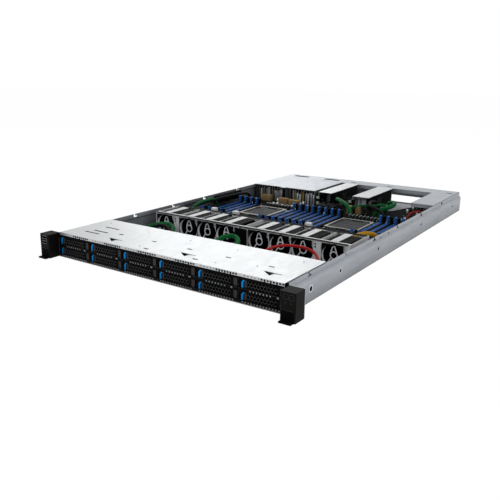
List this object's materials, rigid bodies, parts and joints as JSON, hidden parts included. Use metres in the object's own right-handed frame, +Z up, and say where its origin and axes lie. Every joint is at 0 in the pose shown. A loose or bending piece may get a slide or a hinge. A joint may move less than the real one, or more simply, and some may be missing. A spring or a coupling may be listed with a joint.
{
  "type": "rack server",
  "caption": "Slim rack server with its lid off: drive bays in front, a row of fans, memory and processor sockets, power supplies and risers behind.",
  "frame": {"origin": "underside of the chassis, midway between the sides, in the plane where the rack ears meet the rack", "axes": "+X right seen from the front, +Y to the rear, +Z up"},
  "size_m": [0.4826, 0.8326, 0.043],
  "materials": {
    "steel": "zinc-plated sheet steel, satin",
    "board": "green circuit board",
    "black_plastic": "black moulded plastic",
    "blue_plastic": "blue moulded plastic",
    "pale_plastic": "pale grey moulded plastic",
    "handle_plastic": "dark moulded handle with blue tab",
    "ear_plastic": "dark grey moulded plastic",
    "button_plastic": "grey moulded plastic",
    "heatsink": "bare aluminium and component bodies",
    "connector": "off-white moulded connectors",
    "cable": "insulated wire looms"
  },
  "bodies": {
    "chassis": {"chassis_tray": "steel", "drive_cage": "steel", "drive_bay_cover": "steel", "drive_backplane": "board", "fan_tray": "steel", "fan_clips": "pale_plastic", "fan_frames": "black_plastic", "mainboard": "board", "memory_sockets_blue": "blue_plastic", "memory_sockets_black": "black_plastic", "cpu_sockets": "steel", "cpu_covers": "pale_plastic", "psu_bay_cover": "steel", "rear_panel": "steel", "rear_crossbar": "steel", "riser_brackets": "steel", "air_baffle": "black_plastic", "board_parts": "heatsink", "board_connectors": "connector", "cable_looms": "cable", "ear_left": "ear_plastic", "ear_right": "ear_plastic"},
    "drive_carrier_lower_1": {"drive_carrier_lower_1": "black_plastic"},
    "drive_carrier_lower_2": {"drive_carrier_lower_2": "black_plastic"},
    "drive_carrier_lower_3": {"drive_carrier_lower_3": "black_plastic"},
    "drive_carrier_lower_4": {"drive_carrier_lower_4": "black_plastic"},
    "drive_carrier_lower_5": {"drive_carrier_lower_5": "black_plastic"},
    "drive_carrier_lower_6": {"drive_carrier_lower_6": "black_plastic"},
    "drive_carrier_upper_1": {"drive_carrier_upper_1": "black_plastic"},
    "drive_carrier_upper_2": {"drive_carrier_upper_2": "black_plastic"},
    "drive_carrier_upper_3": {"drive_carrier_upper_3": "black_plastic"},
    "drive_carrier_upper_4": {"drive_carrier_upper_4": "black_plastic"},
    "drive_carrier_upper_5": {"drive_carrier_upper_5": "black_plastic"},
    "drive_carrier_upper_6": {"drive_carrier_upper_6": "black_plastic"},
    "drive_handle_lower_1": {"drive_handle_lower_1": "handle_plastic"},
    "drive_handle_lower_2": {"drive_handle_lower_2": "handle_plastic"},
    "drive_handle_lower_3": {"drive_handle_lower_3": "handle_plastic"},
    "drive_handle_lower_4": {"drive_handle_lower_4": "handle_plastic"},
    "drive_handle_lower_5": {"drive_handle_lower_5": "handle_plastic"},
    "drive_handle_lower_6": {"drive_handle_lower_6": "handle_plastic"},
    "drive_handle_upper_1": {"drive_handle_upper_1": "handle_plastic"},
    "drive_handle_upper_2": {"drive_handle_upper_2": "handle_plastic"},
    "drive_handle_upper_3": {"drive_handle_upper_3": "handle_plastic"},
    "drive_handle_upper_4": {"drive_handle_upper_4": "handle_plastic"},
    "drive_handle_upper_5": {"drive_handle_upper_5": "handle_plastic"},
    "drive_handle_upper_6": {"drive_handle_upper_6": "handle_plastic"},
    "fan_rotor_1": {"fan_rotor_1": "black_plastic"},
    "fan_rotor_2": {"fan_rotor_2": "black_plastic"},
    "fan_rotor_3": {"fan_rotor_3": "black_plastic"},
    "fan_rotor_4": {"fan_rotor_4": "black_plastic"},
    "fan_rotor_5": {"fan_rotor_5": "black_plastic"},
    "fan_rotor_6": {"fan_rotor_6": "black_plastic"},
    "fan_rotor_7": {"fan_rotor_7": "black_plastic"},
    "fan_rotor_8": {"fan_rotor_8": "black_plastic"},
    "ear_lever_left": {"ear_lever_left": "ear_plastic"},
    "ear_lever_right": {"ear_lever_right": "ear_plastic"},
    "power_button": {"power_button": "button_plastic"},
    "locate_button": {"locate_button": "button_plastic"},
    "power_supply_1": {"power_supply_1": "steel"},
    "power_supply_2": {"power_supply_2": "steel"}
  },
  "joints": [
    {"name": "drive_slide_lower_1", "type": "slide", "parent": "chassis", "child": "drive_carrier_lower_1", "axis": [0, -1, 0], "range_m": [0, 0.11]},
    {"name": "handle_swing_lower_1", "type": "hinge", "parent": "drive_carrier_lower_1", "child": "drive_handle_lower_1", "pos_m": [-0.14752, -0.0034, 0.0121], "axis": [0, 0, 1], "range_deg": [0, 50]},
    {"name": "drive_slide_lower_2", "type": "slide", "parent": "chassis", "child": "drive_carrier_lower_2", "axis": [0, -1, 0], "range_m": [0, 0.11]},
    {"name": "handle_swing_lower_2", "type": "hinge", "parent": "drive_carrier_lower_2", "child": "drive_handle_lower_2", "pos_m": [-0.07552, -0.0034, 0.0121], "axis": [0, 0, 1], "range_deg": [0, 50]},
    {"name": "drive_slide_lower_3", "type": "slide", "parent": "chassis", "child": "drive_carrier_lower_3", "axis": [0, -1, 0], "range_m": [0, 0.11]},
    {"name": "handle_swing_lower_3", "type": "hinge", "parent": "drive_carrier_lower_3", "child": "drive_handle_lower_3", "pos_m": [-0.00352, -0.0034, 0.0121], "axis": [0, 0, 1], "range_deg": [0, 50]},
    {"name": "drive_slide_lower_4", "type": "slide", "parent": "chassis", "child": "drive_carrier_lower_4", "axis": [0, -1, 0], "range_m": [0, 0.11]},
    {"name": "handle_swing_lower_4", "type": "hinge", "parent": "drive_carrier_lower_4", "child": "drive_handle_lower_4", "pos_m": [0.06847, -0.0034, 0.0121], "axis": [0, 0, 1], "range_deg": [0, 50]},
    {"name": "drive_slide_lower_5", "type": "slide", "parent": "chassis", "child": "drive_carrier_lower_5", "axis": [0, -1, 0], "range_m": [0, 0.11]},
    {"name": "handle_swing_lower_5", "type": "hinge", "parent": "drive_carrier_lower_5", "child": "drive_handle_lower_5", "pos_m": [0.14047, -0.0034, 0.0121], "axis": [0, 0, 1], "range_deg": [0, 50]},
    {"name": "drive_slide_lower_6", "type": "slide", "parent": "chassis", "child": "drive_carrier_lower_6", "axis": [0, -1, 0], "range_m": [0, 0.11]},
    {"name": "handle_swing_lower_6", "type": "hinge", "parent": "drive_carrier_lower_6", "child": "drive_handle_lower_6", "pos_m": [0.21247, -0.0034, 0.0121], "axis": [0, 0, 1], "range_deg": [0, 50]},
    {"name": "drive_slide_upper_1", "type": "slide", "parent": "chassis", "child": "drive_carrier_upper_1", "axis": [0, -1, 0], "range_m": [0, 0.11]},
    {"name": "handle_swing_upper_1", "type": "hinge", "parent": "drive_carrier_upper_1", "child": "drive_handle_upper_1", "pos_m": [-0.14752, -0.0034, 0.0295], "axis": [0, 0, 1], "range_deg": [0, 50]},
    {"name": "drive_slide_upper_2", "type": "slide", "parent": "chassis", "child": "drive_carrier_upper_2", "axis": [0, -1, 0], "range_m": [0, 0.11]},
    {"name": "handle_swing_upper_2", "type": "hinge", "parent": "drive_carrier_upper_2", "child": "drive_handle_upper_2", "pos_m": [-0.07552, -0.0034, 0.0295], "axis": [0, 0, 1], "range_deg": [0, 50]},
    {"name": "drive_slide_upper_3", "type": "slide", "parent": "chassis", "child": "drive_carrier_upper_3", "axis": [0, -1, 0], "range_m": [0, 0.11]},
    {"name": "handle_swing_upper_3", "type": "hinge", "parent": "drive_carrier_upper_3", "child": "drive_handle_upper_3", "pos_m": [-0.00352, -0.0034, 0.0295], "axis": [0, 0, 1], "range_deg": [0, 50]},
    {"name": "drive_slide_upper_4", "type": "slide", "parent": "chassis", "child": "drive_carrier_upper_4", "axis": [0, -1, 0], "range_m": [0, 0.11]},
    {"name": "handle_swing_upper_4", "type": "hinge", "parent": "drive_carrier_upper_4", "child": "drive_handle_upper_4", "pos_m": [0.06847, -0.0034, 0.0295], "axis": [0, 0, 1], "range_deg": [0, 50]},
    {"name": "drive_slide_upper_5", "type": "slide", "parent": "chassis", "child": "drive_carrier_upper_5", "axis": [0, -1, 0], "range_m": [0, 0.11]},
    {"name": "handle_swing_upper_5", "type": "hinge", "parent": "drive_carrier_upper_5", "child": "drive_handle_upper_5", "pos_m": [0.14047, -0.0034, 0.0295], "axis": [0, 0, 1], "range_deg": [0, 50]},
    {"name": "drive_slide_upper_6", "type": "slide", "parent": "chassis", "child": "drive_carrier_upper_6", "axis": [0, -1, 0], "range_m": [0, 0.11]},
    {"name": "handle_swing_upper_6", "type": "hinge", "parent": "drive_carrier_upper_6", "child": "drive_handle_upper_6", "pos_m": [0.21247, -0.0034, 0.0295], "axis": [0, 0, 1], "range_deg": [0, 50]},
    {"name": "fan_spin_1", "type": "hinge", "parent": "chassis", "child": "fan_rotor_1", "pos_m": [-0.1687, 0.2248, 0.0211], "axis": [0, -1, 0], "continuous": true},
    {"name": "fan_spin_2", "type": "hinge", "parent": "chassis", "child": "fan_rotor_2", "pos_m": [-0.1139, 0.2248, 0.0211], "axis": [0, -1, 0], "continuous": true},
    {"name": "fan_spin_3", "type": "hinge", "parent": "chassis", "child": "fan_rotor_3", "pos_m": [-0.0717, 0.2248, 0.0211], "axis": [0, -1, 0], "continuous": true},
    {"name": "fan_spin_4", "type": "hinge", "parent": "chassis", "child": "fan_rotor_4", "pos_m": [-0.0295, 0.2248, 0.0211], "axis": [0, -1, 0], "continuous": true},
    {"name": "fan_spin_5", "type": "hinge", "parent": "chassis", "child": "fan_rotor_5", "pos_m": [0.0391, 0.2248, 0.0211], "axis": [0, -1, 0], "continuous": true},
    {"name": "fan_spin_6", "type": "hinge", "parent": "chassis", "child": "fan_rotor_6", "pos_m": [0.0813, 0.2248, 0.0211], "axis": [0, -1, 0], "continuous": true},
    {"name": "fan_spin_7", "type": "hinge", "parent": "chassis", "child": "fan_rotor_7", "pos_m": [0.1235, 0.2248, 0.0211], "axis": [0, -1, 0], "continuous": true},
    {"name": "fan_spin_8", "type": "hinge", "parent": "chassis", "child": "fan_rotor_8", "pos_m": [0.1783, 0.2248, 0.0211], "axis": [0, -1, 0], "continuous": true},
    {"name": "ear_lever_swing_left", "type": "hinge", "parent": "chassis", "child": "ear_lever_left", "pos_m": [-0.2303, -0.0229, 0.0145], "axis": [-1, 0, 0], "range_deg": [0, 30], "stiffness_Nm_per_rad": 0.02},
    {"name": "ear_lever_swing_right", "type": "hinge", "parent": "chassis", "child": "ear_lever_right", "pos_m": [0.2303, -0.0229, 0.0145], "axis": [-1, 0, 0], "range_deg": [0, 30], "stiffness_Nm_per_rad": 0.02},
    {"name": "power_button_press", "type": "slide", "parent": "chassis", "child": "power_button", "axis": [0, 1, 0], "range_m": [0, 0.0012], "stiffness_N_per_m": 400},
    {"name": "locate_button_press", "type": "slide", "parent": "chassis", "child": "locate_button", "axis": [0, 1, 0], "range_m": [0, 0.0012], "stiffness_N_per_m": 400},
    {"name": "power_supply_slide_1", "type": "slide", "parent": "chassis", "child": "power_supply_1", "axis": [0, 1, 0], "range_m": [0, 0.18]},
    {"name": "power_supply_slide_2", "type": "slide", "parent": "chassis", "child": "power_supply_2", "axis": [0, 1, 0], "range_m": [0, 0.18]}
  ]
}
